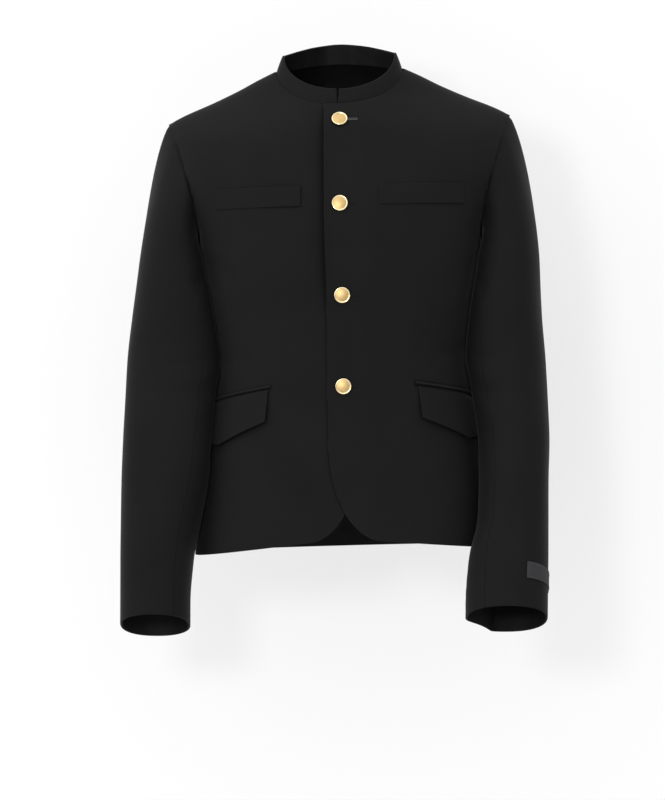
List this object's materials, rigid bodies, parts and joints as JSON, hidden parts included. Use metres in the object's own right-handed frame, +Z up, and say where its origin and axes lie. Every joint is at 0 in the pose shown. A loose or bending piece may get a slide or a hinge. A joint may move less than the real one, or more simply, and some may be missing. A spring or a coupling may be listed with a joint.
{
  "type": "tailored jacket",
  "caption": "Hip-length tailored jacket with a short stand collar, a button front, chest welts, slanted pointed pocket flaps and long two-piece sleeves, in its worn, hollow form.",
  "frame": {"origin": "midway between the two side neck points, where the shoulder seams meet the collar: the wearer's neck carries the jacket there", "axes": "+Z up, -Y is the jacket's front, +X is the wearer's left"},
  "size_m": [0.5515, 0.2699, 0.7744],
  "materials": {
    "cloth": "black wool suiting, fine twill, matt with a faint sheen",
    "buttons": "satin gilt, with a polished rim",
    "label": "dark grey woven tape, blank"
  },
  "bodies": {
    "root": {"front_right": "cloth", "front_left": "cloth", "back": "cloth", "collar": "cloth", "sleeve_right_top": "cloth", "sleeve_right_under": "cloth", "sleeve_left_top": "cloth", "sleeve_left_under": "cloth", "chest_welt_right": "cloth", "chest_welt_left": "cloth", "flap_right": "cloth", "flap_left": "cloth", "jet_right": "cloth", "jet_left": "cloth", "button_1": "buttons", "button_2": "buttons", "button_3": "buttons", "button_4": "buttons", "sleeve_label": "label"}
  },
  "joints": []
}
